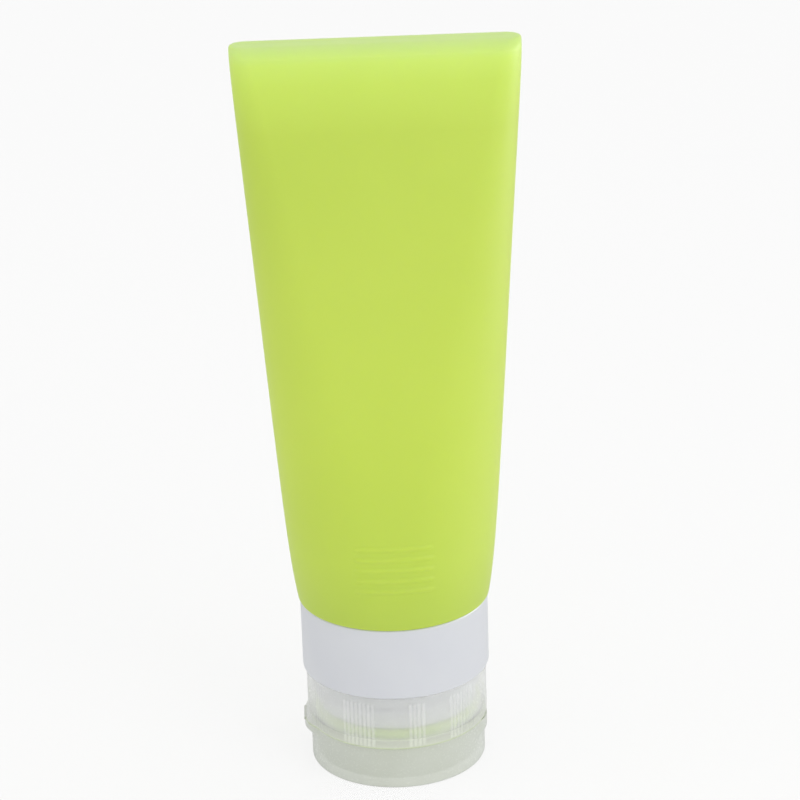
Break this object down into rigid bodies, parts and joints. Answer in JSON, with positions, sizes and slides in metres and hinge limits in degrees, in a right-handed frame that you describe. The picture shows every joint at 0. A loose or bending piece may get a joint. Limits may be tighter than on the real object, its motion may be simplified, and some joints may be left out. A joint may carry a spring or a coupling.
{
  "type": "travel squeeze bottle",
  "caption": "Soft squeeze bottle that stands on its cap: a tube pinched flat at its closed end, a rigid collar, and a clear ribbed screw cap with a hinged lid and a drip valve.",
  "frame": {"origin": "middle of the lid's flat outer face, on which the bottle stands", "axes": "+Z along the bottle's axis to the tube's closed end, -Y out of a wide face of the tube, -X to the lid's hinge and +X to its thumb tab"},
  "size_m": [0.0548, 0.0384, 0.146],
  "materials": {
    "lime_silicone": "matt translucent silicone",
    "pale_silicone": "matt translucent silicone",
    "white_plastic": "satin moulded",
    "clear_plastic": "hazy clear moulded"
  },
  "bodies": {
    "bottle": {"squeeze_tube": "lime_silicone", "neck_collar": "white_plastic", "neck_sleeve": "white_plastic"},
    "seal": {"seal_ring": "lime_silicone"},
    "cap": {"screw_cap": "clear_plastic", "drip_valve": "pale_silicone", "valve_retainer": "white_plastic", "hinge_film": "clear_plastic"},
    "lid": {"flip_lid": "clear_plastic"}
  },
  "joints": [
    {"name": "cap_lift", "type": "slide", "parent": "bottle", "child": "seal", "axis": [0, 0, -1], "range_m": [0, 0.0091]},
    {"name": "cap_turn", "type": "hinge", "parent": "seal", "child": "cap", "pos_m": [0, 0, 0], "axis": [0, 0, -1], "range_deg": [0, 1080]},
    {"name": "lid_flip", "type": "hinge", "parent": "cap", "child": "lid", "pos_m": [-0.01825, 0, 0.00863], "axis": [0, 1, 0], "range_deg": [0, 150], "deforming": ["hinge_film"]}
  ],
  "couplings": [
    {"joint": "cap_lift", "follows": "cap_turn", "m_per_rad": 0.00047746}
  ]
}
